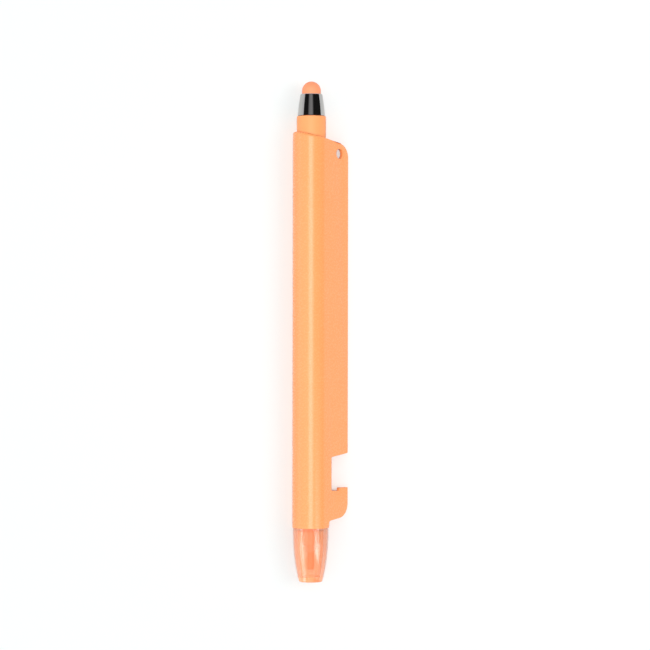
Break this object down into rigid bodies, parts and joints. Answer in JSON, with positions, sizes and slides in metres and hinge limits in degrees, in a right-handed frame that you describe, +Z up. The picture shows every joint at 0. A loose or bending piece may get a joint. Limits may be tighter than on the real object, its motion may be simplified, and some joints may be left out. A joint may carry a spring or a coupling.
{
  "type": "retractable highlighter",
  "caption": "Click-action highlighter pen with a clear nose, a rubber touch tip on a chrome ferrule, and a flat side fin with a phone-stand slot and a lanyard hole.",
  "frame": {"origin": "on the surface that the pen lies on, under the middle of the pen's box", "axes": "+Y along the pen from the nib to the touch tip, +Z up from the surface, +X to the side where the fin slopes down to the surface"},
  "size_m": [0.016, 0.145, 0.0107],
  "materials": {
    "orange_abs": "satin moulded ABS",
    "clear_orange_ps": "clear tinted polystyrene",
    "orange_felt": "inked polyester felt",
    "tinted_pp": "moulded polypropylene",
    "spring_steel": "drawn wire",
    "white_pp": "moulded polypropylene",
    "clear_film": "thin clear film",
    "inked_fibre": "inked polyester fibre",
    "white_acetal": "moulded acetal",
    "grey_acetal": "moulded acetal",
    "chrome_plate": "polished plate on plastic",
    "coral_silicone": "moulded silicone rubber"
  },
  "bodies": {
    "barrel": {"barrel": "orange_abs", "nose_cone": "clear_orange_ps", "cam_sleeve": "white_acetal", "return_spring": "spring_steel"},
    "button": {"push_button": "orange_abs", "ferrule": "chrome_plate", "touch_tip": "coral_silicone", "touch_core": "white_acetal", "plunger": "white_acetal"},
    "cartridge": {"nib": "orange_felt", "nib_holder": "tinted_pp", "ink_tube": "white_pp", "reservoir_film": "clear_film", "ink_reservoir": "inked_fibre", "tube_plug": "white_pp"},
    "rotor": {"rotor": "grey_acetal"}
  },
  "joints": [
    {"name": "button_press", "type": "slide", "parent": "barrel", "child": "button", "axis": [0, -1, 0], "range_m": [0, 0.0066], "stiffness_N_per_m": 300, "springref_m": -0.004},
    {"name": "cartridge_slide", "type": "slide", "parent": "barrel", "child": "cartridge", "axis": [0, -1, 0], "range_m": [0, 0.0066], "deforming": ["return_spring"]},
    {"name": "rotor_turn", "type": "hinge", "parent": "cartridge", "child": "rotor", "pos_m": [-0.00271, 0.03175, 0.00533], "axis": [0, 1, 0], "range_deg": [0, 45]}
  ],
  "couplings": [
    {"joint": "cartridge_slide", "follows": "button_press", "ratio": 1},
    {"joint": "rotor_turn", "follows": "button_press", "rad_per_m": 119}
  ]
}
